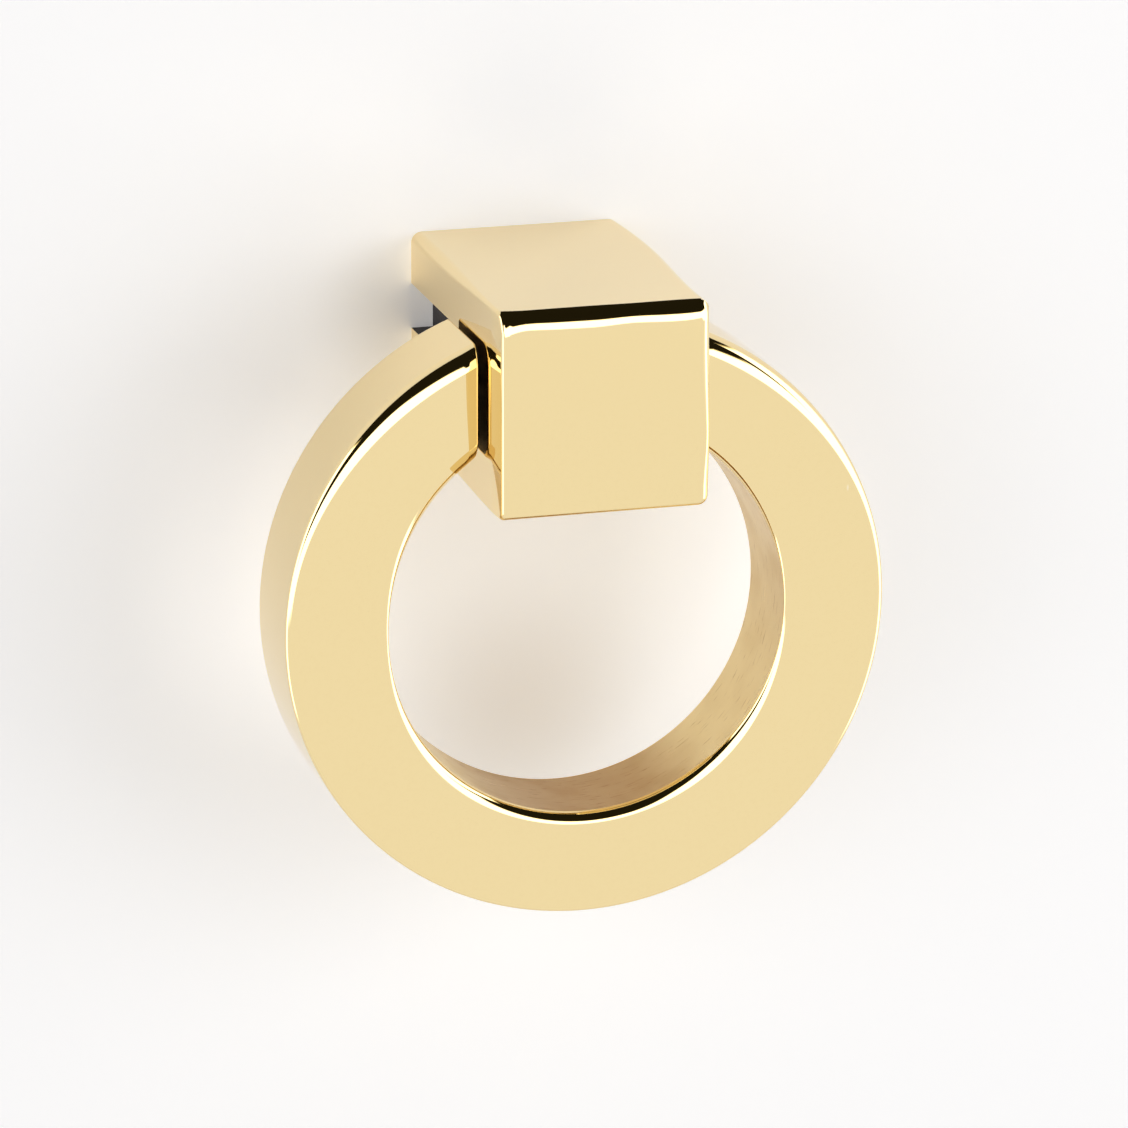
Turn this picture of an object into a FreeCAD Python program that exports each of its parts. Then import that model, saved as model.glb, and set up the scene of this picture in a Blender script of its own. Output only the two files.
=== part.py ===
import FreeCAD, Part
import os
import Sketcher

# Ring pull for a drawer or a cabinet door, in solid polished brass.
# A square post stands on the door. An open ring hangs from it, with one flat end
# beside each flank of the post, and swings on a steel pin that crosses the post.
# Frame: millimetres, +Z up, the front faces -Y. The origin is the middle of the
# post's rear face, where it meets the door.

SIZES = [
    ("post_width", 17.6, "post, side to side"),
    ("post_height", 17.3, "post, bottom to top"),
    ("post_depth", 28.0, "post, from the door to its front face"),
    ("post_top_round", 1.6, "round of the post's upper front edge"),
    ("post_bottom_round", 0.9, "round of the post's lower front edge"),
    ("post_side_round", 0.6, "round of the edges of the post's two flanks"),
    ("screw_hole_diameter", 3.3, "core of the M4 thread in the rear face"),
    ("screw_hole_depth", 12.0, "depth of that threaded hole"),
    ("notch_height", 3.85, "spanner notch in each flank, bottom to top"),
    ("notch_below_top", 4.4, "from the top of the post down to the notch"),
    ("notch_inset", 1.85, "how far the notch goes into the flank"),
    ("notch_length", 13.0, "how far the notch runs forward from the door"),
    ("ring_diameter", 50.8, "ring, outside"),
    ("ring_bore", 33.6, "ring, inside"),
    ("ring_thickness", 9.6, "ring, front to rear"),
    ("ring_setback", 4.8, "from the post's front face back to the ring's"),
    ("ring_outer_round", 1.4, "round of the ring's outer front edge"),
    ("ring_inner_round", 0.9, "round of the ring's inner front edge"),
    ("ring_rear_bevel", 0.4, "bevel of the ring's two rear edges"),
    ("ring_end_round", 0.2, "round of the edges of the ring's two ends"),
    ("side_gap", 0.4, "air between the post's flank and the ring's end"),
    ("pin_diameter", 3.0, "pivot pin, pressed into the post"),
    ("pin_reach", 3.2, "how far the pin enters each end of the ring"),
    ("pin_bevel", 0.3, "bevel on the two ends of the pin"),
    ("pin_end_play", 0.3, "from the pin's end to the bottom of the ring's hole"),
    ("pin_running_clearance", 0.05, "radial play of the ring on the pin"),
]

# Places that follow from those sizes, as expressions on the sheet. The pin enters the
# ring midway between the top and the bottom of its flat end.
PIVOT_Y = "-(Sizes.post_depth - Sizes.ring_setback - Sizes.ring_thickness / 2)"
BETWEEN_ENDS = "(Sizes.post_width + 2 * Sizes.side_gap)"
END_TOP = "sqrt((Sizes.ring_diameter / 2)^2 - (" + BETWEEN_ENDS + " / 2)^2)"
END_BOTTOM = "sqrt((Sizes.ring_bore / 2)^2 - (" + BETWEEN_ENDS + " / 2)^2)"
RING_DROP = "((" + END_TOP + " + " + END_BOTTOM + ") / 2)"
NOTCH_TOP = "(Sizes.post_height / 2 - Sizes.notch_below_top)"
NOTCH_FLOOR = "(Sizes.post_width / 2 - Sizes.notch_inset)"

TOLERANCE = 1e-6
DRILL_POINT_ANGLE = 118.0

doc = FreeCAD.newDocument("ring_pull")
sheet = doc.addObject("Spreadsheet::Sheet", "Sizes")
for row, (alias, value, meaning) in enumerate(SIZES, start=1):
    sheet.set("A%d" % row, meaning)
    sheet.set("B%d" % row, str(value))
    sheet.setAlias("B%d" % row, alias)
doc.recompute()


def number(expression):
    """What an expression on the sheet comes to."""
    return float(sheet.evalExpression(expression.replace("Sizes.", "")))


def new_body(label):
    """An empty body whose label is the sub-part's name."""
    body = doc.addObject("PartDesign::Body", label)
    body.Label = label
    return body


def new_sketch(body, name, role):
    """An empty sketch on one of the body's own origin planes."""
    sketch = body.newObject("Sketcher::SketchObject", name)
    plane = [item for item in body.Origin.OriginFeatures if item.Role == role][0]
    sketch.AttachmentSupport = (plane, [""])
    sketch.MapMode = "FlatFace"
    return sketch


def dimension(sketch, kind, references, name, expression):
    """A named dimension of a sketch, driven by the sheet."""
    index = sketch.addConstraint(Sketcher.Constraint(kind, *references, number(expression)))
    sketch.renameConstraint(index, name)
    sketch.setExpression("Constraints." + name, expression)


def rectangle(sketch, name, left, right, low, high):
    """A rectangle in a sketch, with the place of each side driven by an expression."""
    x = (number(left), number(right))
    y = (number(low), number(high))
    corners = [FreeCAD.Vector(x[i], y[j], 0) for i, j in ((0, 0), (1, 0), (1, 1), (0, 1))]
    first = sketch.GeometryCount
    for here, there in zip(corners, corners[1:] + corners[:1]):
        sketch.addGeometry(Part.LineSegment(here, there), False)
    for side in range(4):
        following = first + (side + 1) % 4
        sketch.addConstraint(Sketcher.Constraint("Coincident", first + side, 2, following, 1))
        direction = "Horizontal" if side % 2 == 0 else "Vertical"
        sketch.addConstraint(Sketcher.Constraint(direction, first + side))
    dimension(sketch, "DistanceX", (-1, 1, first, 1), name + "_left", left)
    dimension(sketch, "DistanceX", (-1, 1, first + 2, 1), name + "_right", right)
    dimension(sketch, "DistanceY", (-1, 1, first, 1), name + "_low", low)
    dimension(sketch, "DistanceY", (-1, 1, first + 2, 1), name + "_high", high)


def circle(sketch, name, across, up, diameter):
    """A circle in a sketch, with its centre and diameter driven by expressions."""
    centre = FreeCAD.Vector(number(across), number(up), 0)
    upright = FreeCAD.Vector(0, 0, 1)
    index = sketch.addGeometry(Part.Circle(centre, upright, number(diameter) / 2), False)
    dimension(sketch, "Diameter", (index,), name + "_diameter", diameter)
    dimension(sketch, "DistanceX", (-1, 1, index, 3), name + "_across", across)
    dimension(sketch, "DistanceY", (-1, 1, index, 3), name + "_up", up)


def pad_both_ways(body, name, sketch, length):
    """A pad of a given full length, half to each side of its sketch."""
    pad = body.newObject("PartDesign::Pad", name)
    pad.Profile = sketch
    pad.Midplane = True
    pad.setExpression("Length", length)
    doc.recompute()
    return pad


def pocket(body, name, sketch, length, both_ways=True, along_normal=False):
    """A pocket of a given length, with a check that it takes material away."""
    before = body.Shape.Volume
    cut = body.newObject("PartDesign::Pocket", name)
    cut.Profile = sketch
    cut.Midplane = both_ways
    cut.Reversed = along_normal
    cut.setExpression("Length", length)
    doc.recompute()
    if body.Shape.Volume > before - TOLERANCE:
        raise RuntimeError(name + " cuts nothing")
    return cut


def edges_where(shape, wanted):
    """The names of a shape's edges that pass a test."""
    return ["Edge%d" % index for index, edge in enumerate(shape.Edges, start=1) if wanted(edge)]


def dress(body, kind, name, wanted, size, expression):
    """A fillet or a chamfer on the edges of a body that pass a test."""
    base = body.Tip
    names = edges_where(base.Shape, wanted)
    feature = body.newObject(kind, name)
    feature.Base = (base, names)
    feature.setExpression(size, expression)
    doc.recompute()
    return feature


def round_edges(body, name, wanted, expression):
    return dress(body, "PartDesign::Fillet", name, wanted, "Radius", expression)


def bevel_edges(body, name, wanted, expression):
    return dress(body, "PartDesign::Chamfer", name, wanted, "Size", expression)


def near(a, b):
    return abs(a - b) < TOLERANCE


def make_post():
    """The square post: a block with soft front edges, a cross bore, notches and a thread."""
    body = new_body("post")
    profile = new_sketch(body, "post_profile", "YZ_Plane")
    half_height = "Sizes.post_height / 2"
    rectangle(profile, "post", "-Sizes.post_depth", "0", "-" + half_height, half_height)
    pad_both_ways(body, "post_block", profile, "Sizes.post_width")

    front = number("-Sizes.post_depth")
    half_width = number("Sizes.post_width / 2")

    def crosses_front_at(height):
        def test(edge):
            middle = edge.CenterOfMass
            return near(middle.y, front) and near(middle.x, 0) and near(middle.z, height)
        return test

    def bounds_a_flank(edge):
        box = edge.BoundBox
        on_flank = near(box.XLength, 0) and near(abs(box.Center.x), half_width)
        on_rear = near(box.YMin, 0) and near(box.YMax, 0)
        return on_flank and not on_rear

    top = number(half_height)
    round_edges(body, "post_top_edge", crosses_front_at(top), "Sizes.post_top_round")
    round_edges(body, "post_bottom_edge", crosses_front_at(-top), "Sizes.post_bottom_round")
    round_edges(body, "post_flank_edges", bounds_a_flank, "Sizes.post_side_round")

    bore = new_sketch(body, "cross_bore_outline", "YZ_Plane")
    circle(bore, "bore", PIVOT_Y, "0", "Sizes.pin_diameter")
    pocket(body, "cross_bore", bore, "2 * Sizes.post_width")

    notches = new_sketch(body, "notch_outline", "XZ_Plane")
    notch_bottom = NOTCH_TOP + " - Sizes.notch_height"
    rectangle(notches, "right_notch", NOTCH_FLOOR, "Sizes.post_width", notch_bottom, NOTCH_TOP)
    rectangle(notches, "left_notch", "-Sizes.post_width", "-" + NOTCH_FLOOR, notch_bottom, NOTCH_TOP)
    pocket(body, "spanner_notches", notches, "Sizes.notch_length", both_ways=False, along_normal=True)

    mouth = new_sketch(body, "screw_hole_place", "XZ_Plane")
    circle(mouth, "screw_hole", "0", "0", "Sizes.screw_hole_diameter")
    doc.recompute()
    solid_before = body.Shape.Volume
    hole = body.newObject("PartDesign::Hole", "screw_hole")
    hole.Profile = mouth
    hole.Reversed = True
    hole.DepthType = "Dimension"
    hole.DrillPoint = "Angled"
    hole.DrillPointAngle = DRILL_POINT_ANGLE
    hole.setExpression("Diameter", "Sizes.screw_hole_diameter")
    hole.setExpression("Depth", "Sizes.screw_hole_depth")
    doc.recompute()
    if body.Shape.Volume > solid_before - TOLERANCE:
        raise RuntimeError("the screw hole cuts nothing")
    return body


def make_ring():
    """The open ring: a turned band, cut open for the post, with a blind pivot hole in each end."""
    body = new_body("ring")
    section = new_sketch(body, "ring_section", "YZ_Plane")
    half_thickness = "Sizes.ring_thickness / 2"
    inner, outer = "Sizes.ring_bore / 2", "Sizes.ring_diameter / 2"
    rectangle(section, "ring", "-" + half_thickness, half_thickness, inner, outer)
    turned = body.newObject("PartDesign::Revolution", "ring_band")
    turned.Profile = section
    turned.ReferenceAxis = (section, ["H_Axis"])
    turned.Angle = 360.0
    doc.recompute()

    front, rear = number("-" + half_thickness), number(half_thickness)

    def is_rim(depth, radii):
        def test(edge):
            round_edge = edge.Curve.TypeId == "Part::GeomCircle"
            return round_edge and near(edge.Curve.Center.y, depth) and any(
                near(edge.Curve.Radius, radius) for radius in radii)
        return test

    inner_radius, outer_radius = number(inner), number(outer)
    round_edges(body, "ring_outer_edge", is_rim(front, [outer_radius]), "Sizes.ring_outer_round")
    round_edges(body, "ring_inner_edge", is_rim(front, [inner_radius]), "Sizes.ring_inner_round")
    both = [inner_radius, outer_radius]
    bevel_edges(body, "ring_rear_edges", is_rim(rear, both), "Sizes.ring_rear_bevel")

    opening = new_sketch(body, "opening_outline", "XZ_Plane")
    half_opening = BETWEEN_ENDS + " / 2"
    rectangle(opening, "opening", "-" + half_opening, half_opening, "0", "Sizes.ring_diameter")
    pocket(body, "ring_opening", opening, "2 * Sizes.ring_thickness")

    end_place = number(half_opening)

    def bounds_an_end(edge):
        box = edge.BoundBox
        return near(box.XLength, 0) and near(abs(box.Center.x), end_place)

    round_edges(body, "ring_end_edges", bounds_an_end, "Sizes.ring_end_round")

    holes = new_sketch(body, "pivot_hole_outline", "YZ_Plane")
    hole_diameter = "Sizes.pin_diameter + 2 * Sizes.pin_running_clearance"
    circle(holes, "pivot_hole", "0", RING_DROP, hole_diameter)
    hole_depth = "(Sizes.pin_reach + Sizes.pin_end_play)"
    pocket(body, "pivot_holes", holes, BETWEEN_ENDS + " + 2 * " + hole_depth)

    body.setExpression("Placement.Base.y", PIVOT_Y)
    body.setExpression("Placement.Base.z", "-" + RING_DROP)
    return body


def make_pivot_pin():
    """The steel pin: pressed into the post, with a bevelled end in each end of the ring."""
    body = new_body("pivot_pin")
    outline = new_sketch(body, "pin_outline", "YZ_Plane")
    circle(outline, "pin", "0", "0", "Sizes.pin_diameter")
    pad_both_ways(body, "pin_rod", outline, BETWEEN_ENDS + " + 2 * Sizes.pin_reach")

    def is_round(edge):
        return edge.Curve.TypeId == "Part::GeomCircle"

    bevel_edges(body, "pin_ends", is_round, "Sizes.pin_bevel")
    body.setExpression("Placement.Base.y", PIVOT_Y)
    return body


subparts = [make_post(), make_ring(), make_pivot_pin()]
doc.recompute()

for item in doc.Objects:
    if "Invalid" in item.State or "Error" in item.State:
        raise RuntimeError("%s did not build: %s" % (item.Name, item.State))
for body in subparts:
    if body.Shape.isNull() or not body.Shape.isValid():
        raise RuntimeError(body.Label + " has no valid solid")

os.makedirs("parts", exist_ok=True)
for body in subparts:
    body.Shape.exportStep("parts/%s.step" % body.Label)
    box = body.Shape.optimalBoundingBox()
    print("%s: %d solid, %.1f mm3, x %.2f to %.2f, y %.2f to %.2f, z %.2f to %.2f" % (
        body.Label, len(body.Shape.Solids), body.Shape.Volume,
        box.XMin, box.XMax, box.YMin, box.YMax, box.ZMin, box.ZMax))
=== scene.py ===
# %% [markdown]
# # Ring pull handle
# A brass ring hangs from a square post and swings on a hidden steel pin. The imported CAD
# model gives the box and the place of each piece. This file dresses it: the post and the
# ring get smooth polished meshes, the pin gets a ground finish, and a pale board stands
# behind. Lengths are in metres, +Z is up, the front faces -Y, and the post's rear face is
# at y = 0.

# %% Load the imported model
import math

import bmesh
import bpy
from mathutils import Matrix, Vector


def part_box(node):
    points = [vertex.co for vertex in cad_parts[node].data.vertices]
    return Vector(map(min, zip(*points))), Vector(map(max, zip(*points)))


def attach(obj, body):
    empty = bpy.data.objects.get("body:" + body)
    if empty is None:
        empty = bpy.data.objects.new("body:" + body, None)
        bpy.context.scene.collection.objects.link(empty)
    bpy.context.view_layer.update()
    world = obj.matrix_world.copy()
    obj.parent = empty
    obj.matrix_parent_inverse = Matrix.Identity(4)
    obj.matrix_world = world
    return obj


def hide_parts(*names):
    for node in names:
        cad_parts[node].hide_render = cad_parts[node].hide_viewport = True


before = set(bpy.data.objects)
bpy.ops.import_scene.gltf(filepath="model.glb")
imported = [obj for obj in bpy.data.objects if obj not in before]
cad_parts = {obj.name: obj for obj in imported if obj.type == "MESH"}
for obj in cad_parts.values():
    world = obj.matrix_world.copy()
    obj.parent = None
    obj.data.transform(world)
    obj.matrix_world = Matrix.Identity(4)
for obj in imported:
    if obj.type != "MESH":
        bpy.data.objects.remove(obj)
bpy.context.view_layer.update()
MM = 0.001
print("nodes:", sorted(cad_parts))

# %% [markdown]
# A mirror finish shows every facet, so the CAD triangles are too coarse to polish. Both
# brass pieces are modelled again with bmesh operators, at the CAD sizes, with fine rounds.
# The helpers below serve both. The first ones pick faces by where they lie, cut them along
# planes, push them and round their corners.

# %% Helpers that pick, cut and round
CLOSE = 1e-6
X, Y, Z = range(3)


def on_plane(bm, axis, place):
    """All faces that lie in a plane across one axis."""
    return [face for face in bm.faces
            if all(abs(vert.co[axis] - place) < CLOSE for vert in face.verts)]


def faces_where(faces, test):
    """The faces whose middle passes a test."""
    return [face for face in faces if test(face.calc_center_median())]


def slice_faces(bm, faces, point, normal):
    """Cuts some faces along a plane and leaves the others whole."""
    rims = dict.fromkeys(item for face in faces for item in (*face.verts, *face.edges))
    geom = list(rims) + faces
    bmesh.ops.bisect_plane(bm, geom=geom, dist=CLOSE, plane_co=point, plane_no=normal)


def slice_evenly(bm, pick, axis, start, length, count, first=1):
    """Cuts the faces that a function picks, at even steps along an axis."""
    for step in range(first, count):
        point, normal = Vector(), Vector()
        point[axis] = start + length * step / count
        normal[axis] = 1
        slice_faces(bm, pick(), point, normal)


def upright_face(bm, middle, depth, height):
    """Adds one face across X, with a depth along Y and a height along Z."""
    turn = Matrix.Rotation(math.radians(90), 4, "Y") @ Matrix.Rotation(math.radians(90), 4, "Z")
    bmesh.ops.create_grid(bm, x_segments=1, y_segments=1, size=0.5, matrix=turn)
    bmesh.ops.scale(bm, verts=bm.verts, vec=(1, depth, height))
    bmesh.ops.translate(bm, verts=bm.verts, vec=middle)


def push_faces(bm, faces, step):
    """Extrudes faces and moves the new ones by a step."""
    made = bmesh.ops.extrude_face_region(bm, geom=faces)["geom"]
    verts = [item for item in made if isinstance(item, bmesh.types.BMVert)]
    bmesh.ops.translate(bm, verts=verts, vec=step)


def soften(bm, geom, size, segments, affect="EDGES"):
    """Rounds some edges, or some corners of a flat outline."""
    bmesh.ops.bevel(bm, geom=geom, offset=size, offset_type="OFFSET", affect=affect,
                    segments=segments, profile=0.5, material=-1)


def round_corner(bm, test, size, segments):
    """Rounds the corners of a flat outline that pass a test."""
    soften(bm, [vert for vert in bm.verts if test(vert.co)], size, segments, "VERTICES")


def soft_step(value, start=0.0, length=1.0):
    """A smooth rise from 0 to 1 that starts at a value and takes a length."""
    share = min(max((value - start) / length, 0.0), 1.0)
    return share * share * (3 - 2 * share)


# %% [markdown]
# Three helpers drill: they draw a circle, cut it into a face as a mouth, and carry a mouth's
# edges inwards. The last one closes a bmesh and makes it a piece. Its Weighted Normal
# modifier lets the large flat faces set the shading along their borders, so a flat face
# mirrors as one up to its round.

# %% Helpers that drill and finish
SHARP_ANGLE = math.radians(32)


def flat_face(bm, axis, place):
    """The largest face that lies in a plane across one axis."""
    return max(on_plane(bm, axis, place), key=lambda face: face.calc_area())


def ring_of_edges(bm, centre, direction, radius, count):
    """A circle of loose edges across a direction, starting on no face."""
    turn = Vector((0, 0, 1)).rotation_difference(Vector(direction)).to_matrix().to_4x4()
    place = Matrix.Translation(centre) @ turn
    made = bmesh.ops.create_circle(bm, segments=count, radius=radius, matrix=place)
    return list(dict.fromkeys(edge for vert in made["verts"] for edge in vert.link_edges))


def carry_on(bm, edges, step):
    """Extrudes a loop of edges by a step and gives back the new loop."""
    made = bmesh.ops.extrude_edge_only(bm, edges=edges)["geom"]
    verts = [item for item in made if isinstance(item, bmesh.types.BMVert)]
    bmesh.ops.translate(bm, verts=verts, vec=step)
    moved = set(verts)
    return [item for item in made
            if isinstance(item, bmesh.types.BMEdge) and set(item.verts) <= moved]


def open_mouth(bm, face, centre, direction, radius, count=64):
    """Takes a flat face away and fills in round a circular mouth."""
    border = list(face.edges)
    bmesh.ops.delete(bm, geom=[face], context="FACES_ONLY")
    mouth = ring_of_edges(bm, centre, direction, radius, count)
    bmesh.ops.triangle_fill(bm, edges=border + mouth, use_beauty=True)
    return mouth


def finish_brass(bm, name, node, body, materials):
    """Closes a bmesh, marks its hard edges and makes it a piece that stands for a node."""
    bmesh.ops.remove_doubles(bm, verts=bm.verts, dist=CLOSE)
    bmesh.ops.recalc_face_normals(bm, faces=bm.faces)
    for edge in bm.edges:
        edge.smooth = edge.calc_face_angle(0.0) < SHARP_ANGLE
    for face in bm.faces:
        face.smooth = True
    loose = sum(1 for edge in bm.edges if not edge.is_manifold)
    triangles = sum(len(face.verts) - 2 for face in bm.faces)
    volume = bm.calc_volume() / MM ** 3
    print(f"{name}: {triangles} triangles, {volume:.0f} mm3, {loose} open edges")
    mesh = bpy.data.meshes.new(name)
    bm.to_mesh(mesh)
    bm.free()
    for material in materials:
        mesh.materials.append(material)
    piece = bpy.data.objects.new(name, mesh)
    bpy.context.scene.collection.objects.link(piece)
    shading = piece.modifiers.new("even_shading", "WEIGHTED_NORMAL")
    shading.keep_sharp = True
    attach(piece, body)
    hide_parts(node)


# %% [markdown]
# ## Finishes
# Polished brass is a mirror with a warm tint: its colour comes from what stands around it.
# So the tint is the only strong colour here, and the rest is the work of the polishing
# wheel: a slow waviness that bends reflections a little, a faint cloudiness, a few dark
# specks and pale flecks. Shader maths is written as Python: a small class wraps a socket,
# and each operator adds a Math node.

# %% A socket that takes part in arithmetic
class Wire:
    """An output socket of a node tree."""

    def __init__(self, tree, socket=None):
        self.tree = tree
        self.socket = socket

    def node(self, kind, settings=None, inputs=None, output=0):
        """Adds a node, sets it up, fills its sockets and gives back one of its outputs."""
        made = self.tree.nodes.new(kind)
        for key, setting in (settings or {}).items():
            setattr(made, key, setting)
        for key, value in (inputs or {}).items():
            if isinstance(value, Wire):
                self.tree.links.new(value.socket, made.inputs[key])
            else:
                made.inputs[key].default_value = value
        return Wire(self.tree, made.outputs[output] if made.outputs else None)

    def maths(self, operation, *values):
        """Adds a Math node."""
        return self.node("ShaderNodeMath", {"operation": operation}, dict(enumerate(values)))

    def smooth(self, low, high):
        """A soft step from 0 at low to 1 at high."""
        settings = {"interpolation_type": "SMOOTHSTEP"}
        limits = {"Value": self, "From Min": low, "From Max": high}
        return self.node("ShaderNodeMapRange", settings, limits)

    def __add__(self, other):
        return self.maths("ADD", self, other)

    def __sub__(self, other):
        return self.maths("SUBTRACT", self, other)

    def __rsub__(self, other):
        return self.maths("SUBTRACT", other, self)

    def __mul__(self, other):
        return self.maths("MULTIPLY", self, other)

    __radd__ = __add__
    __rmul__ = __mul__


# %% Helpers for every node tree
# A name that ends in OUTPUT says which of a node's outputs is read.
PLACE_OUTPUT = 3
MIX_OUTPUT = 2


def new_tree(owner):
    """An emptied node tree of a material or a world."""
    owner.use_nodes = True
    owner.node_tree.nodes.clear()
    return Wire(owner.node_tree)


def object_place(tree):
    """The place on the object, in metres."""
    return tree.node("ShaderNodeTexCoord", output=PLACE_OUTPUT)


def three_parts(tree, vector):
    """The x, y and z of a vector."""
    return (tree.node("ShaderNodeSeparateXYZ", {}, {"Vector": vector}, part) for part in range(3))


def blend(tree, share, first, second):
    """A colour between two colours."""
    inputs = {"Factor": share, "A": first, "B": second}
    return tree.node("ShaderNodeMix", {"data_type": "RGBA"}, inputs, MIX_OUTPUT)


def noise(tree, place, scale, detail):
    """A cloudy value from 0 to 1."""
    return tree.node("ShaderNodeTexNoise", {}, {"Vector": place, "Scale": scale, "Detail": detail})


def dots(tree, place, scale, size):
    """Scattered dots: 1 inside the first of two radii and 0 beyond the second."""
    cells = tree.node("ShaderNodeTexVoronoi", {}, {"Vector": place, "Scale": scale})
    return 1.0 - cells.smooth(*size)


def metal(tree, material, tint, roughness, height, depth, metallic=1.0):
    """Ends a material: a metal with a tint, a roughness and a bump of some depth in metres."""
    bump = tree.node("ShaderNodeBump", {}, {"Strength": 1.0, "Distance": depth, "Height": height})
    shader = tree.node("ShaderNodeBsdfPrincipled", {}, {
        "Base Color": tint, "Metallic": metallic, "Roughness": roughness, "Normal": bump})
    tree.node("ShaderNodeOutputMaterial", {}, {"Surface": shader})
    return material


# %% Polished brass
BRASS_TINT = (0.87, 0.70, 0.375, 1.0)
BRASS_DEEP = (0.78, 0.56, 0.25, 1.0)
SPECK_TINT = (0.25, 0.15, 0.06, 1.0)
FLECK_TINT = (0.95, 0.86, 0.66, 1.0)
CLOUD_SCALE = 2600.0
CLOUD_SHARE = 0.05
SPECK_SCALE = 140.0
SPECK_SIZE = (0.006, 0.018)
SPECK_SHARE = 0.8
FLECK_SCALE = 125.0
FLECK_SIZE = (0.005, 0.02)
FLECK_SHARE = 0.6
FLECK_STRETCH = (1.0, 1.0, 0.4)
POLISH_ROUGHNESS = 0.035
CLOUD_ROUGHNESS = 0.02
SPECK_ROUGHNESS = 0.2
WAVE_SCALE = 130.0
WAVE_DEPTH = 7.0e-6

polished_brass = bpy.data.materials.new("polished_brass")
tree = new_tree(polished_brass)
place = object_place(tree)
drawn_out = tree.node("ShaderNodeVectorMath", {"operation": "MULTIPLY"}, {0: place, 1: FLECK_STRETCH})
cloud = noise(tree, place, CLOUD_SCALE, 3.0).smooth(0.40, 0.75)
speck = dots(tree, place, SPECK_SCALE, SPECK_SIZE)
fleck = dots(tree, drawn_out, FLECK_SCALE, FLECK_SIZE)
tint = blend(tree, cloud * CLOUD_SHARE, BRASS_TINT, BRASS_DEEP)
tint = blend(tree, speck * SPECK_SHARE, tint, SPECK_TINT)
tint = blend(tree, fleck * FLECK_SHARE, tint, FLECK_TINT)
roughness = POLISH_ROUGHNESS + cloud * CLOUD_ROUGHNESS + speck * SPECK_ROUGHNESS
metal(tree, polished_brass, tint, roughness, noise(tree, place, WAVE_SCALE, 1.0), WAVE_DEPTH)
print("finish:", polished_brass.name)

# %% [markdown]
# The ring's bore never meets the wheel squarely. It keeps a satin skin, with faint brown marks
# that run round it as the lathe tool did, and a few brown stains. Brown painted shade darkens
# it at the very bottom and from below the middle upwards. To make marks run round, the
# texture reads the angle about the ring's axis instead of a straight coordinate.

# %% Satin brass of the bore
RING_BORE = 33.6 * MM
# The brown is painted shade where it follows height, and the bore's own tarnish where it follows stains
# and scratches.
BORE_SHADE_AND_TARNISH = (0.40, 0.21, 0.065, 1.0)
MARKS_ROUND = 9.0
MARKS_ACROSS = 4200.0
STAIN_SCALE = 260.0
BOTTOM_PAINTED_SHADE = 0.8
UPPER_PAINTED_SHADE = 0.30
STAIN_TARNISH = 0.08
SCRATCH_TARNISH = 0.4
SATIN_ROUGHNESS = 0.24
MARKS_ROUGHNESS = 0.10
STAIN_ROUGHNESS = 0.08
MARKS_DEPTH = 0.4e-6

ring_low, ring_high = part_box("ring")
outer_radius = (ring_high.x - ring_low.x) / 2
ring_centre = Vector((0, (ring_low.y + ring_high.y) / 2, ring_low.z + outer_radius))

bore_brass = bpy.data.materials.new("bore_brass")
tree = new_tree(bore_brass)
place = object_place(tree)
x, y, z = three_parts(tree, place)
level = (z - ring_centre.z) * (2 / RING_BORE)
angle = tree.maths("ARCTAN2", x, z - ring_centre.z)
around = tree.node("ShaderNodeCombineXYZ", {}, {"X": angle * MARKS_ROUND, "Y": y * MARKS_ACROSS})
marks = noise(tree, around, 1.0, 2.0)
scratch = marks.smooth(0.62, 0.72)
stain = noise(tree, place, STAIN_SCALE, 2.0).smooth(0.35, 0.75)
# The two terms by height are painted shade; the stain and scratch terms are real tarnish.
shade_and_tarnish = ((1.0 - level.smooth(-1.0, -0.72)) * BOTTOM_PAINTED_SHADE + level.smooth(-0.55, 0.1) * UPPER_PAINTED_SHADE
           + stain * STAIN_TARNISH + scratch * SCRATCH_TARNISH)
tint = blend(tree, shade_and_tarnish, BRASS_TINT, BORE_SHADE_AND_TARNISH)
roughness = SATIN_ROUGHNESS + marks * MARKS_ROUGHNESS + stain * STAIN_ROUGHNESS
metal(tree, bore_brass, tint, roughness, marks, MARKS_DEPTH)
print("finish:", bore_brass.name)

# %% [markdown]
# Three surfaces never meet the wheel at all. The notches get a near-black colour and the
# ring's sawn ends and their holes a dark brown one, both painted shade of the recess and the
# narrow gap beside the post, and the pin is ground steel.

# %% Painted shade for the notches and the ring's ends, and the pin's steel
# The notch and end colours are painted shade, as dark as the recess and the gap beside the post; the pin's
# colour is its own steel.
NOTCH_SHADE_TINT = (0.027, 0.022, 0.024, 1.0)
END_SHADE_TINT = (0.060, 0.026, 0.016, 1.0)
PIN_SKIN = (0.50, 0.49, 0.48, 1.0)
GRAIN_SHADE = 0.6
GRAIN_ROUGHNESS = 0.15
GRAIN_DEPTH = 4.0e-6


def dull_metal_or_painted_shade(name, colour, metallic, roughness, scale):
    """A dull metal skin whose shade and roughness vary with a grain. With a dark colour it is painted
    shade.
    """
    material = bpy.data.materials.new(name)
    tree = new_tree(material)
    grain = noise(tree, object_place(tree), scale, 4.0)
    darker = tuple(GRAIN_SHADE * part for part in colour[:3]) + (1.0,)
    tint = blend(tree, grain.smooth(0.35, 0.7), colour, darker)
    return metal(tree, material, tint, roughness + grain * GRAIN_ROUGHNESS, grain, GRAIN_DEPTH, metallic)


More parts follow.
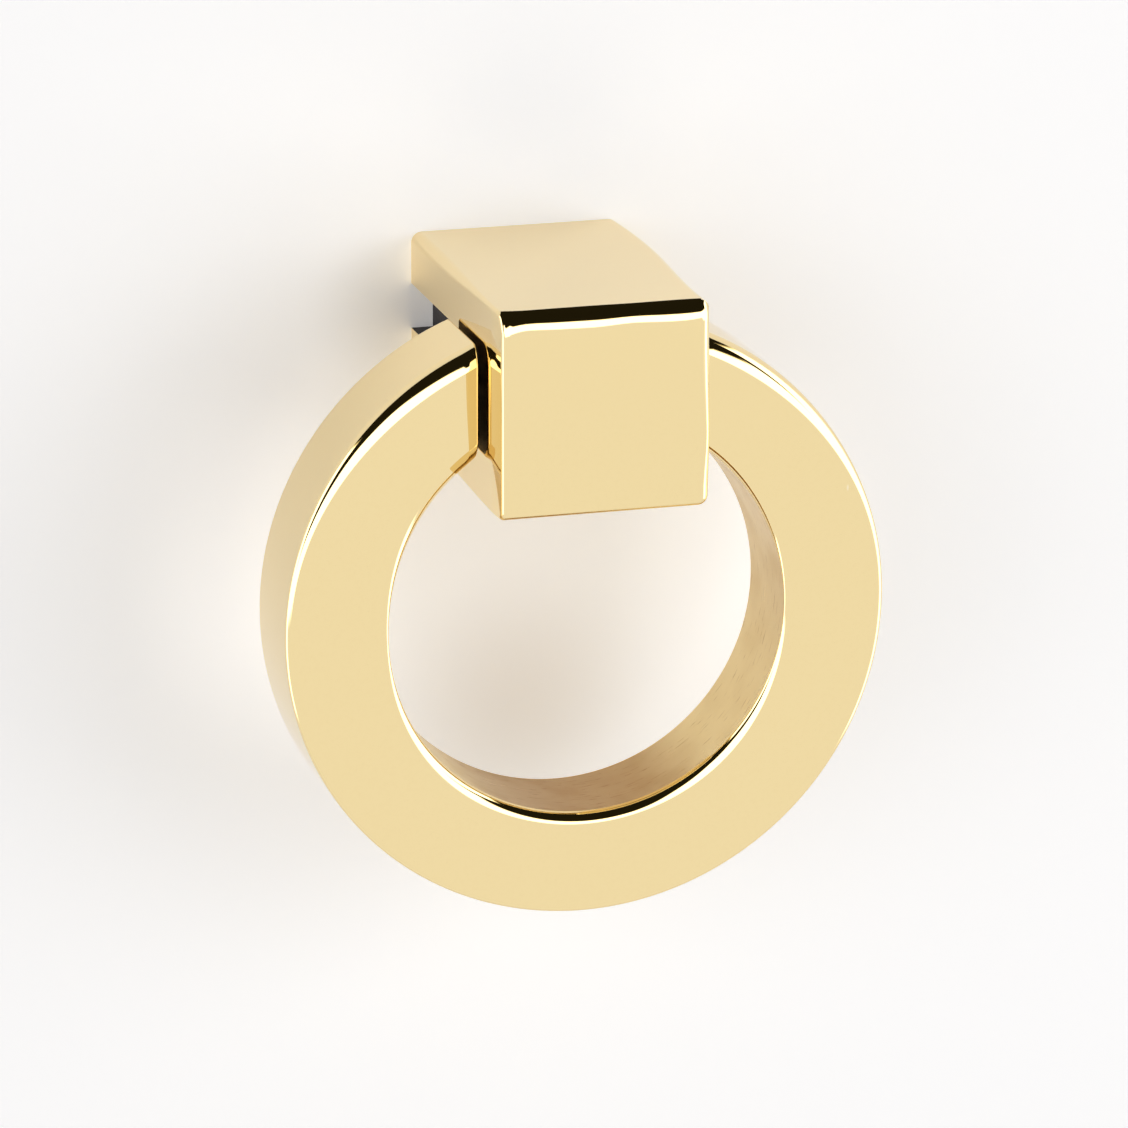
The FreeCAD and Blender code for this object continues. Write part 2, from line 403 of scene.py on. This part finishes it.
notch_painted_shade = dull_metal_or_painted_shade("notch_painted_shade", NOTCH_SHADE_TINT, metallic=0.4, roughness=0.5, scale=3000.0)
ring_end_painted_shade = dull_metal_or_painted_shade("ring_end_painted_shade", END_SHADE_TINT, metallic=0.7, roughness=0.4, scale=4000.0)
pin_skin = dull_metal_or_painted_shade("pin_skin", PIN_SKIN, metallic=1.0, roughness=0.30, scale=5000.0)
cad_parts["pivot_pin"].data.materials.clear()
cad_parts["pivot_pin"].data.materials.append(pin_skin)
print("finishes:", notch_painted_shade.name, ring_end_painted_shade.name, pin_skin.name)

# %% [markdown]
# ## The post
# The real post is a short length of square bar. Its upper front edge is rounded more than
# the others, a notch runs along each flank at the rear, and a threaded hole is tapped in
# its rear face. The side outline comes first, as one square face with its two front
# corners rounded. Extruding it across gives the block, and a bevel softens both flanks.
# The wheel leaned harder on the right flank, so its round is wider.

# %% The post's block
post_low, post_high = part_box("post")
TOP_ROUND = 1.6 * MM
BOTTOM_ROUND = 0.95 * MM
LEFT_ROUND = 0.35 * MM
RIGHT_ROUND = 0.85 * MM
post_depth = post_high.y - post_low.y
post_width = post_high.x - post_low.x
post_height = post_high.z - post_low.z

post = bmesh.new()
upright_face(post, (post_low.x, -post_depth / 2, 0), post_depth, post_height)
round_corner(post, lambda co: co.y < -post_depth / 2 and co.z > 0, TOP_ROUND, segments=16)
round_corner(post, lambda co: co.y < -post_depth / 2 and co.z < -post_height / 4, BOTTOM_ROUND, segments=8)
push_faces(post, list(post.faces), (post_width, 0, 0))

for side, size in ((-1, LEFT_ROUND), (1, RIGHT_ROUND)):
    edges = [edge for edge in post.edges
             if all(abs(vert.co.x - side * post_high.x) < CLOSE for vert in edge.verts)
             and min(vert.co.y for vert in edge.verts) < -CLOSE]
    soften(post, edges, size, segments=8)
print("post block:", len(post.faces), "faces")

# %% [markdown]
# The wheel left its own shape on four edges. The two long edges on the left grow softer
# towards the rear. The upper front edge meets the top abruptly, then runs into the front
# face in an arc that is a little wavy, wider at the left corner and narrower at the right
# one. The right front edge thins below its middle. Each edge is first cut into short
# lengths, and then its points are moved. A pair such as SOFTEN gives where a change starts
# and how far it takes, as shares of the post's depth or of the edge's length.

# %% The wheel's work on the post's edges
LONG_SLICES = 9
REAR_GAIN = 1.6
SOFTEN = (0.125, 0.625)
ARC_RADIUS = 2.5 * MM
ARC_START = math.radians(9.4)
ARC_END = math.radians(50)
ARC_SLICES = 60
ARC_WAVES = ((0.045, 9.4 * MM, 3.0), (0.012, 4.7 * MM, 2.0))
CORNER_GAINS = ((post_low.x, 0.28), (post_high.x, -0.15))
CORNER_REACH = 1.4 * MM
EDGE_SLICES = 30
EDGE_THINNING = 0.5
THIN_RISE = (0.0, 0.4)
THIN_FALL = (0.2, 0.75)


def along_post(vert):
    """How far back a point is: 0 at the front of the post and 1 at its rear."""
    return (vert.co.y - post_low.y) / post_depth


def arc_gain(across):
    """How wide the upper front edge is at a place across the post, as a share of its mean."""
    waves = sum(size * math.sin(math.tau * across / length + start)
                for size, length, start in ARC_WAVES)
    corners = sum(size * math.exp(-((across - edge) / CORNER_REACH) ** 2)
                  for edge, size in CORNER_GAINS)
    return 1 + waves + corners


slice_evenly(post, lambda: [face for face in post.faces if abs(face.normal.x) < 1 - CLOSE],
             Y, 0.0, -post_depth, LONG_SLICES)
for vert in post.verts:
    inward = vert.co.x - post_low.x
    below = post_high.z - abs(vert.co.z)
    if max(inward, below) < LEFT_ROUND + CLOSE:
        gain = 1 + REAR_GAIN * soft_step(along_post(vert), *SOFTEN)
        vert.co.x = post_low.x + inward * gain
        vert.co.z = math.copysign(post_high.z - below * gain, vert.co.z)

arc_y = post_low.y + TOP_ROUND
arc_z = post_high.z - TOP_ROUND
slice_evenly(post, lambda: faces_where(post.faces, lambda at: at.y < arc_y and at.z > arc_z),
             X, post_low.x, post_width, ARC_SLICES)
for vert in post.verts:
    out, up = arc_y - vert.co.y, vert.co.z - arc_z
    if min(out, up) > -CLOSE:
        turn = math.atan2(up, out)
        inset = TOP_ROUND - math.hypot(out, up)
        radius = ARC_RADIUS * arc_gain(vert.co.x)
        lean = ARC_START + (ARC_END - ARC_START) * turn / math.radians(90)
        back = radius * (math.cos(ARC_START) - math.cos(lean))
        down = radius * (math.sin(ARC_END) - math.sin(lean))
        vert.co.y = post_low.y + back + inset * math.cos(turn)
        vert.co.z = post_high.z - down - inset * math.sin(turn)

edge_low = post_low.z + BOTTOM_ROUND
edge_length = arc_z - edge_low


def right_front_edge():
    """The faces of the right front edge."""
    return faces_where(post.faces, lambda at: at.x > post_high.x - RIGHT_ROUND
                       and at.y < post_low.y + RIGHT_ROUND
                       and edge_low < at.z < arc_z + TOP_ROUND / 2)


slice_evenly(post, right_front_edge, Z, edge_low, edge_length, EDGE_SLICES)
for vert in post.verts:
    from_flank, from_front = post_high.x - vert.co.x, vert.co.y - post_low.y
    share = (vert.co.z - edge_low) / edge_length
    if max(from_flank, from_front) < RIGHT_ROUND + CLOSE and 0 < share < 1:
        thinned = soft_step(share, *THIN_RISE) * (1 - soft_step(share, *THIN_FALL))
        gain = 1 - EDGE_THINNING * thinned
        vert.co.x = post_high.x - from_flank * gain
        vert.co.y = post_low.y + from_front * gain
print("post with worked edges:", len(post.faces), "faces")

# %% [markdown]
# Each notch starts as one cell of the flank. Cutting planes outline the cell on the flank
# and on a strip of the rear face. The cell is pushed inwards, and the two faces that then
# close the notch at the rear are taken away, so that it is open towards the board.

# %% The spanner notches
NOTCH_TOP = post_high.z - 4.4 * MM
NOTCH_BOTTOM = NOTCH_TOP - 3.85 * MM
NOTCH_INSET = 1.85 * MM
NOTCH_LENGTH = 13.0 * MM
notch_floor = post_high.x - NOTCH_INSET


def rear_strip(side):
    """The faces of the rear that lie beside a notch's floor."""
    return faces_where(on_plane(post, Y, 0.0), lambda at: side * at.x > notch_floor)


def flank_strip(side):
    """The faces of a flank that lie as far back as a notch."""
    return faces_where(on_plane(post, X, side * post_high.x), lambda at: at.y > -NOTCH_LENGTH)


def at_notch_height(faces):
    """Those faces that lie between the top and the bottom of the notches."""
    return faces_where(faces, lambda at: NOTCH_BOTTOM < at.z < NOTCH_TOP)


for side in (-1, 1):
    slice_faces(post, on_plane(post, Y, 0.0), (side * notch_floor, 0, 0), (1, 0, 0))
    slice_faces(post, on_plane(post, X, side * post_high.x), (0, -NOTCH_LENGTH, 0), (0, 1, 0))
    for cut in (NOTCH_TOP, NOTCH_BOTTOM):
        slice_faces(post, rear_strip(side) + flank_strip(side), (0, 0, cut), (0, 0, 1))
    cell = at_notch_height(flank_strip(side))
    push_faces(post, cell, (-side * NOTCH_INSET, 0, 0))
    bmesh.ops.delete(post, geom=[face for face in cell if face.is_valid], context="FACES_ONLY")
    bmesh.ops.delete(post, geom=at_notch_height(rear_strip(side)), context="FACES")
bmesh.ops.remove_doubles(post, verts=post.verts, dist=CLOSE)
print("post with notches:", len(post.faces), "faces")

# %% [markdown]
# The cross bore goes right through, so the loops of its two mouths are bridged. The screw
# hole is a straight wall and a drill point, each one an extruded loop of edges.

# %% The cross bore and the screw hole
pin_low, pin_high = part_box("pivot_pin")
pin_radius = (pin_high.z - pin_low.z) / 2
pin_middle = Vector((0, (pin_low.y + pin_high.y) / 2, 0))
SCREW_RADIUS = 1.65 * MM
SCREW_DEPTH = 12.0 * MM
DRILL_POINT = 0.95 * MM

mouths = []
for side in (-1, 1):
    centre = pin_middle + Vector((side * post_high.x, 0, 0))
    mouths += open_mouth(post, flat_face(post, X, side * post_high.x), centre, (1, 0, 0), pin_radius)
bmesh.ops.bridge_loops(post, edges=mouths)

hole = open_mouth(post, flat_face(post, Y, 0.0), (0, 0, 0), (0, 1, 0), SCREW_RADIUS)
bottom = carry_on(post, hole, (0, -SCREW_DEPTH, 0))
tip = carry_on(post, bottom, (0, -DRILL_POINT, 0))
tip_verts = list(dict.fromkeys(vert for edge in tip for vert in edge.verts))
bmesh.ops.pointmerge(post, verts=tip_verts, merge_co=(0, -SCREW_DEPTH - DRILL_POINT, 0))
print("post with holes:", len(post.faces), "faces")

# %% [markdown]
# The flanks show the wheel's work too. Over its front few millimetres the left flank rolls
# inwards a little, which is where a mirror face starts to show the dark beside the tent's
# box. On the right the flank swells along its top, most of all behind the middle. The
# ring's ends swing below that swelling. Last, the floor and the lower wall of each notch
# get a near-black colour, which is painted shade.

# %% The wheel's work on the post's flanks
ROLL = 3.2 * MM
ROLL_DEPTH = 0.2 * MM
ROLL_SLICES = 8
ROLL_INSIDE = 3 * ROLL_DEPTH
SWELL = 0.75 * MM
SWELL_HEIGHT = 2.85 * MM
SWELL_SLICES = 5
SWELL_LENGTHS = 28
SWELL_RISE = (0.1, 0.6)
SWELL_FALL = 0.45
SWELL_FALL_FROM = 0.71
swell_low = post_high.z - SWELL_HEIGHT

slice_evenly(post, lambda: faces_where(post.faces, lambda at: at.x < post_low.x + ROLL),
             Y, post_low.y, ROLL, ROLL_SLICES)
for vert in post.verts:
    rolled = max(0.0, 1 - (vert.co.y - post_low.y) / ROLL)
    if vert.co.x < post_low.x + ROLL_INSIDE:
        vert.co.x += ROLL_DEPTH * rolled ** 2


def upper_right():
    """The faces of the right flank and its round that reach into the swelling."""
    return [face for face in faces_where(post.faces, lambda at: at.x > post_high.x - RIGHT_ROUND)
            if max(vert.co.z for vert in face.verts) > swell_low + CLOSE]


slice_evenly(post, upper_right, Z, swell_low, SWELL_HEIGHT, SWELL_SLICES, first=0)
slice_evenly(post, upper_right, Y, post_low.y, post_depth, SWELL_LENGTHS, first=0)
for vert in post.verts:
    if vert.co.x > post_high.x - RIGHT_ROUND - CLOSE:
        along = along_post(vert)
        raised = soft_step(1 - (post_high.z - vert.co.z) / SWELL_HEIGHT)
        fall = SWELL_FALL * max(0.0, (along - SWELL_FALL_FROM) / (1 - SWELL_FALL_FROM)) ** 2
        vert.co.x += SWELL * raised * (soft_step(along, *SWELL_RISE) - fall)

# The floor and the lower wall of each notch get the near-black painted shade of the recess.
post_skins = [polished_brass, notch_painted_shade]
for face in post.faces:
    centre = face.calc_center_median()
    in_notch = centre.y > -NOTCH_LENGTH + CLOSE and abs(centre.x) < post_high.x - CLOSE
    on_floor = NOTCH_BOTTOM < centre.z < NOTCH_TOP and abs(abs(centre.x) - notch_floor) < CLOSE
    on_lower_wall = all(abs(vert.co.z - NOTCH_BOTTOM) < CLOSE for vert in face.verts)
    if in_notch and (on_floor or on_lower_wall):
        face.material_index = post_skins.index(notch_painted_shade)
finish_brass(post, "post_polished", "post", "post_body", post_skins)

# %% [markdown]
# ## The ring
# The real ring is turned from bar, cut open at the top, and drilled in both ends for the
# pin. Its section is one square face with rounded front corners and small rear ones.
# Spinning the outline about the ring's own axis gives an open band with radial ends. The
# real ends are flat and upright, beside the post, so each point then slides along its own
# circle until both ends lie flat. The wheel rounded the front edges most at the top, and
# the inner one at the bottom too, so the same pass makes each round wider or tighter.

# %% The ring's band
OUTER_ROUND = 1.4 * MM
OUTER_LEAST = 0.3
OUTER_TOP_GAIN = 0.8
OUTER_WIDENS = (0.05, 0.85)
INNER_ROUND = 0.9 * MM
INNER_LEAST = 0.25
INNER_TOP_GAIN = 1.25
INNER_BOTTOM_GAIN = 0.75
INNER_WIDENS = (0.0, 0.9)
CRISPNESS = 0.8
REAR_ROUND = 0.4 * MM
SIDE_GAP = 0.4 * MM
SPIN_ANGLE = math.radians(300)
SPIN_STEPS = 192
end_place = post_high.x + SIDE_GAP
inner_radius = RING_BORE / 2
half_thickness = (ring_high.y - ring_low.y) / 2
mid_radius = (outer_radius + inner_radius) / 2

ring = bmesh.new()
upright_face(ring, (0, 0, -mid_radius), 2 * half_thickness, outer_radius - inner_radius)
round_corner(ring, lambda co: co.y < 0 and co.z < -mid_radius, OUTER_ROUND, segments=14)
round_corner(ring, lambda co: co.y < -half_thickness + CLOSE and co.z > -mid_radius,
             INNER_ROUND, segments=12)
round_corner(ring, lambda co: co.y > half_thickness - CLOSE, REAR_ROUND, segments=4)
bmesh.ops.delete(ring, geom=list(ring.faces), context="FACES_ONLY")
outline = list(ring.verts) + list(ring.edges)
bmesh.ops.rotate(ring, verts=ring.verts, cent=(0, 0, 0),
                 matrix=Matrix.Rotation(-SPIN_ANGLE / 2, 3, "Y"))
bmesh.ops.spin(ring, geom=outline, cent=(0, 0, 0), axis=(0, 1, 0), angle=SPIN_ANGLE,
               steps=SPIN_STEPS)


def crisped(share):
    """Moves a share of a round's width, so that the round leaves the front face abruptly."""
    crisp = share * (1.5 - 0.5 * share ** 2)
    return share + (crisp - share) * CRISPNESS


for vert in ring.verts:
    radius = math.hypot(vert.co.x, vert.co.z)
    from_bottom = math.atan2(vert.co.x, -vert.co.z)
    lift = -math.cos(from_bottom)
    from_front = vert.co.y + half_thickness
    from_outside, from_inside = outer_radius - radius, radius - inner_radius
    if max(from_outside, from_front) < OUTER_ROUND + CLOSE:
        gain = OUTER_LEAST + OUTER_TOP_GAIN * soft_step(lift, *OUTER_WIDENS)
        radius = outer_radius - OUTER_ROUND * gain * crisped(from_outside / OUTER_ROUND)
        vert.co.y = from_front * gain - half_thickness
    elif max(from_inside, from_front) < INNER_ROUND + CLOSE:
        most = INNER_TOP_GAIN if lift > 0 else INNER_BOTTOM_GAIN
        gain = INNER_LEAST + most * soft_step(abs(lift), *INNER_WIDENS)
        radius = inner_radius + INNER_ROUND * gain * crisped(from_inside / INNER_ROUND)
        vert.co.y = from_front * gain - half_thickness
    reach = math.pi - math.asin(end_place / radius)
    turned = from_bottom * reach / (SPIN_ANGLE / 2)
    vert.co.x = radius * math.sin(turned)
    vert.co.z = -radius * math.cos(turned)
print("ring band:", len(ring.faces), "faces")

# %% [markdown]
# Each end is capped, softened and drilled, and a narrow strip of the front face beside it is
# tilted back a little, as the wheel leaves it where the band stops. The band still lies
# about the origin here. Its skins are set, and then it moves to its place.

# %% The ring's ends and the pivot holes
END_ROUND = 0.2 * MM
FACET = 0.9 * MM
FACET_DEPTH = 0.22 * MM
HOLE_RADIUS = 1.55 * MM
HOLE_DEPTH = 3.5 * MM
BORE_MARGIN = 0.01 * MM

for side in (-1, 1):
    rim = [edge for edge in ring.edges if edge.is_boundary and side * edge.verts[0].co.x > 0]
    bmesh.ops.contextual_create(ring, geom=rim)
    soften(ring, rim, END_ROUND, segments=5)
    centre = Vector((side * end_place, 0, -ring_centre.z))
    mouth = open_mouth(ring, flat_face(ring, X, side * end_place), centre, (1, 0, 0), HOLE_RADIUS)
    bottom = carry_on(ring, mouth, (side * HOLE_DEPTH, 0, 0))
    bmesh.ops.contextual_create(ring, geom=bottom)
    upper_front = faces_where(ring.faces, lambda at: at.y < 0 < at.z)
    slice_faces(ring, upper_front, (side * (end_place + FACET), 0, 0), (1, 0, 0))
for vert in ring.verts:
    nearness = max(0.0, 1 - (abs(vert.co.x) - end_place) / FACET)
    frontness = max(0.0, -vert.co.y / half_thickness)
    if vert.co.z > 0:
        vert.co.y += FACET_DEPTH * nearness * frontness

# The ring's ends and their holes get a dark brown colour: painted shade of the narrow gap beside the post.
ring_skins = [polished_brass, bore_brass, ring_end_painted_shade]
for face in ring.faces:
    centre = face.calc_center_median()
    in_hole = (math.hypot(centre.y, centre.z + ring_centre.z) < HOLE_RADIUS
               and abs(centre.x) < end_place + HOLE_DEPTH + CLOSE)
    if math.hypot(centre.x, centre.z) < inner_radius + BORE_MARGIN:
        face.material_index = ring_skins.index(bore_brass)
    elif centre.z > 0 and (in_hole or abs(centre.x) < end_place + CLOSE):
        face.material_index = ring_skins.index(ring_end_painted_shade)
bmesh.ops.translate(ring, verts=ring.verts, vec=ring_centre)
finish_brass(ring, "ring_polished", "ring", "ring_body", ring_skins)

# %% [markdown]
# ## The stage
# The pull is fixed to a pale board that fills the picture. The board is a single face that
# can't be seen from behind, so that views of the rear aren't blocked. It stands a hair in
# front of the post's rear face, so that the two never share a plane. It is lit from behind
# as well, as a light table is, which keeps the shadows pale. That glow is dimmed in three
# spots as painted shadow: at the post's left foot, where the shadow is deepest, inside the
# ring and above the post. Each spot has a middle, a reach and the tint of the glow there.

# %% The board
BOARD_TINT = (0.92, 0.91, 0.905, 1.0)
BOARD_GLOW = (0.98, 0.98, 1.0, 1.0)
GLOW_LEVEL = 0.31
BOARD_SIZE = 3.0
BOARD_PLACE = -0.01 * MM
# Each spot is a painted shadow in the board's glow.
PAINTED_SHADOW_SPOTS = (
    ((-9.5 * MM, 0.0, 1.5 * MM), 9.5 * MM, (0.35, 0.35, 0.36, 1.0)),
    ((0.5 * MM, 0.0, -34.0 * MM), 15.0 * MM, (0.80, 0.73, 0.69, 1.0)),
    ((2.3 * MM, 0.0, 14.0 * MM), 17.0 * MM, (0.78, 0.80, 0.86, 1.0)),
)
BACKFACE_OUTPUT = 6
DISTANCE_OUTPUT = 1

board_mesh = bpy.data.meshes.new("board")
sheet = bmesh.new()
facing = Matrix.Rotation(math.radians(90), 4, "X")
bmesh.ops.create_grid(sheet, x_segments=1, y_segments=1, size=BOARD_SIZE / 2, matrix=facing)
sheet.to_mesh(board_mesh)
sheet.free()
board = bpy.data.objects.new("board", board_mesh)
board.location.y = BOARD_PLACE
bpy.context.scene.collection.objects.link(board)

board_paint = bpy.data.materials.new("board_paint")
tree = new_tree(board_paint)
paint = tree.node("ShaderNodeBsdfDiffuse", {}, {"Color": BOARD_TINT})
clear = tree.node("ShaderNodeBsdfTransparent")
from_behind = tree.node("ShaderNodeNewGeometry", output=BACKFACE_OUTPUT)
place = object_place(tree)
glow_with_painted_shadows = BOARD_GLOW
# Each spot dims the glow towards its tint: painted shadow.
for middle, reach, shadow_tint in PAINTED_SHADOW_SPOTS:
    ends = {0: place, 1: middle}
    distance = tree.node("ShaderNodeVectorMath", {"operation": "DISTANCE"}, ends, DISTANCE_OUTPUT)
    glow_with_painted_shadows = blend(tree, distance.smooth(0.0, reach), shadow_tint, glow_with_painted_shadows)
glow = tree.node("ShaderNodeEmission", {}, {"Color": glow_with_painted_shadows, "Strength": GLOW_LEVEL})
lit_paint = tree.node("ShaderNodeAddShader", {}, {0: paint, 1: glow})
surface = tree.node("ShaderNodeMixShader", {}, {0: from_behind, 1: lit_paint, 2: clear})
tree.node("ShaderNodeOutputMaterial", {}, {"Surface": surface})
board_mesh.materials.append(board_paint)
print("board faces", tuple(round(part) for part in board_mesh.polygons[0].normal))

# %% [markdown]
# The real light is a white tent. Brass mirrors it, so what the rounds show is how its
# levels change with direction: a pale field low in front, a bright panel about eye level,
# a bright box at each side, a dark slit that widens upwards beside each box, and darkness
# above a roof line. That darkness draws the lines along the upper edges. Only glossy rays
# see those levels, and everything else gets one even, pale light. Behind the board the tent
# is plain and grows paler upwards, which only views of the rear show.
#
# Directions are in degrees, and only REAR_EDGE is measured on the unit vector. A pair gives
# where a soft change starts and ends. The roof is higher over the boxes and a little left of
# the middle, and the panel reaches lower in the boxes. The left slit leans, and it flares
# just above the horizon.

# %% The light tent
FIELD_LEVEL = 1.0
PANEL_LEVEL = 2.6
DARK_LEVEL = 0.014
DARK_TINT = (1.0, 0.85, 0.40, 1.0)
WHITE = (1.0, 1.0, 1.0, 1.0)
REAR_LEVEL = 0.75
REAR_RISE = 0.5
REAR_EDGE = (0.0, 0.2)
FILL_LEVEL = 0.20
LEFT_BOX = (-66, -62)
RIGHT_BOX = (56, 64)
ROOF = 27.0
LEFT_ROOF_GAIN = 11.0
RIGHT_ROOF_GAIN = 12.0
BULGE_GAIN = 8.0
BULGE_RISE = (-46, -28)
BULGE_FALL = (-14, 6)
PANEL_FLOOR = -13.0
BOX_DROP = 22.0
LINE_EDGE = (-2, 2)
SLIT_EDGE = (-0.5, 1.5)
LEFT_SLIT = -58.0
LEFT_LEAN = 0.115
LEFT_SPREAD = 0.30
LEFT_FLARE = 3.4
FLARE_RISE = (2, 14)
RIGHT_SLIT = 62.0
RIGHT_SPREAD = 0.3
RIGHT_FOOT = 17.0
GLOSSY_OUTPUT = 3

world = bpy.data.worlds.new("light_tent")
bpy.context.scene.world = world
tree = new_tree(world)
x, y, z = three_parts(tree, tree.node("ShaderNodeTexCoord"))
azimuth = tree.maths("ARCTAN2", x, y * -1.0) * math.degrees(1)
elevation = tree.maths("ARCSINE", z) * math.degrees(1)
left = 1.0 - azimuth.smooth(*LEFT_BOX)
right = azimuth.smooth(*RIGHT_BOX)
bulge = azimuth.smooth(*BULGE_RISE) * (1.0 - azimuth.smooth(*BULGE_FALL))
roof = ROOF + bulge * BULGE_GAIN + left * LEFT_ROOF_GAIN + right * RIGHT_ROOF_GAIN
floor = PANEL_FLOOR - (left + right) * BOX_DROP
left_half = elevation * LEFT_SPREAD + elevation.smooth(*FLARE_RISE) * LEFT_FLARE
right_half = (elevation - RIGHT_FOOT) * RIGHT_SPREAD
from_left_slit = tree.maths("ABSOLUTE", azimuth - (elevation * LEFT_LEAN + LEFT_SLIT)) - left_half
from_right_slit = tree.maths("ABSOLUTE", azimuth - RIGHT_SLIT) - right_half
slits = 1.0 - tree.maths("MINIMUM", from_left_slit, from_right_slit).smooth(*SLIT_EDGE)
over = (elevation - roof).smooth(*LINE_EDGE)
rear = y.smooth(*REAR_EDGE)
dark = tree.maths("MAXIMUM", over, slits) * (1.0 - rear)
lit = FIELD_LEVEL + (elevation - floor).smooth(*LINE_EDGE) * (PANEL_LEVEL - FIELD_LEVEL)
lit = lit * (1.0 - rear) + (REAR_LEVEL + z * REAR_RISE) * rear
tent = lit * (1.0 - dark) + DARK_LEVEL * dark
glossy = tree.node("ShaderNodeLightPath", output=GLOSSY_OUTPUT)
strength = tent * glossy + FILL_LEVEL * (1.0 - glossy)
colour = blend(tree, dark * glossy, WHITE, DARK_TINT)
background = tree.node("ShaderNodeBackground", {}, {"Color": colour, "Strength": strength})
tree.node("ShaderNodeOutputWorld", {}, {"Surface": background})
print("world:", world.name)

# %% [markdown]
# Large soft lamps, most of them low at the sides, give the board its shadows. Each one has
# a name, a place and a power in watts. The brass doesn't mirror them.

# %% The lamps
LAMPS = [
    ("right_lamp", (0.43, -0.50, 0.05), 1.55),
    ("right_low_lamp", (0.57, -0.33, 0.00), 0.55),
    ("left_lamp", (-0.43, -0.50, 0.05), 1.08),
    ("left_low_lamp", (-0.57, -0.33, 0.00), 0.34),
    ("under_lamp", (0.00, -0.50, -0.43), 0.25),
]
LAMP_SIZE = 0.5

for name, spot, power in LAMPS:
    lamp_data = bpy.data.lights.new(name, "AREA")
    lamp_data.size = LAMP_SIZE
    lamp_data.energy = power
    lamp = bpy.data.objects.new(name, lamp_data)
    lamp.location = spot
    lamp.rotation_euler = (ring_centre - Vector(spot)).to_track_quat("-Z", "Y").to_euler()
    lamp.visible_glossy = False
    lamp.visible_camera = False
    bpy.context.scene.collection.objects.link(lamp)
print("lamps:", len(LAMPS))

# %% [markdown]
# The camera stands in front, a little to the left and above, with a long lens. Its angles
# and its distance come from fitting the outlines of the post and the ring.

# %% The camera
VIEW_AZIMUTH = math.radians(-16.012)
VIEW_ELEVATION = math.radians(17.095)
VIEW_ROLL = math.radians(0.163)
VIEW_DISTANCE = 0.541239
VIEW_TARGET = Vector((4.559 * MM, 0, -21.412 * MM))
FOCAL_PIXELS = 6343.0
PICTURE_PIXELS = 1128.0
SENSOR_WIDTH = 36.0

to_camera = Vector((math.sin(VIEW_AZIMUTH) * math.cos(VIEW_ELEVATION),
                    -math.cos(VIEW_AZIMUTH) * math.cos(VIEW_ELEVATION),
                    math.sin(VIEW_ELEVATION)))
camera_data = bpy.data.cameras.new("camera")
camera_data.sensor_width = SENSOR_WIDTH
camera_data.lens = FOCAL_PIXELS / PICTURE_PIXELS * SENSOR_WIDTH
camera = bpy.data.objects.new("camera", camera_data)
aim = (-to_camera).to_track_quat("-Z", "Y").to_matrix().to_4x4()
camera.matrix_world = (Matrix.Translation(VIEW_TARGET + to_camera * VIEW_DISTANCE) @ aim
                       @ Matrix.Rotation(VIEW_ROLL, 4, "Z"))
bpy.context.scene.collection.objects.link(camera)
bpy.context.scene.camera = camera
bpy.context.scene.view_settings.view_transform = "Standard"
print(f"lens {camera_data.lens:.1f} mm at {VIEW_DISTANCE / MM:.0f} mm")
